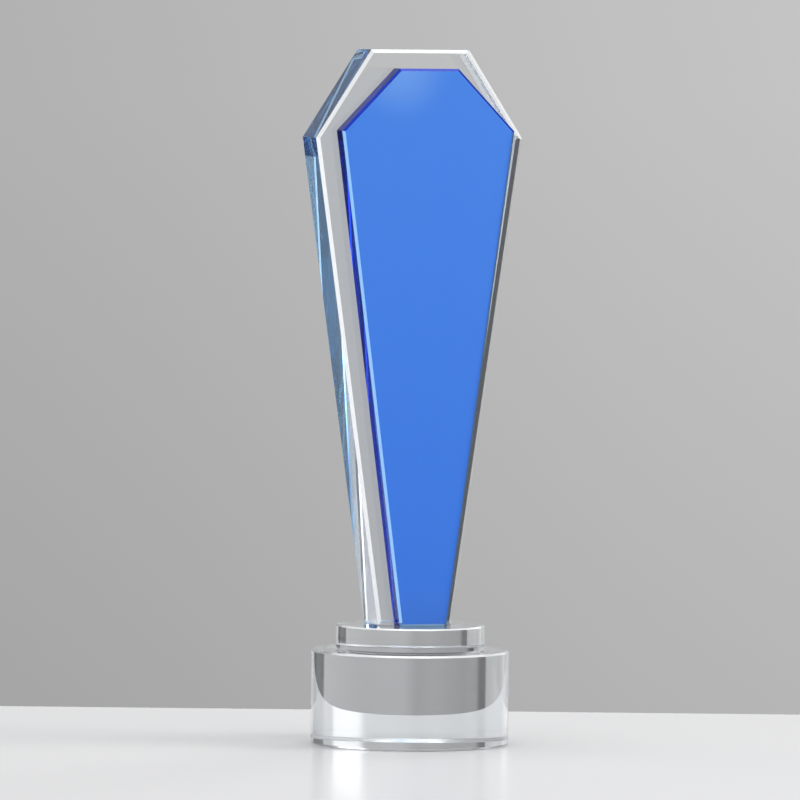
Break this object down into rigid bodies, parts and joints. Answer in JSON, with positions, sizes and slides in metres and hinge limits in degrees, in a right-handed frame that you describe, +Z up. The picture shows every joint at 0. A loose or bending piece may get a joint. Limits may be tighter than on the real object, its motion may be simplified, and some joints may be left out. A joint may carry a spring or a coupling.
{
  "type": "column trophy",
  "caption": "Tall crystal award column with a coloured front plate, bonded to a round step on a round base, for display on a flat surface.",
  "frame": {"origin": "centre of the base disc's underside, on the surface that the trophy stands on", "axes": "+Z up the column, -Y the way the blue plate faces, +X to the right seen from the front"},
  "size_m": [0.0874, 0.08, 0.28],
  "materials": {
    "clear_crystal": "clear optical crown glass, ground and polished on every face",
    "blue_crystal": "cobalt blue crystal glass, polished, coloured through",
    "clear_adhesive": "clear cured adhesive film, matched to the glass"
  },
  "bodies": {
    "root": {"base_disc": "clear_crystal", "base_bond": "clear_adhesive", "step_disc": "clear_crystal", "column_bond": "clear_adhesive", "clear_column": "clear_crystal", "plate_bond": "clear_adhesive", "blue_plate": "blue_crystal"}
  },
  "joints": []
}
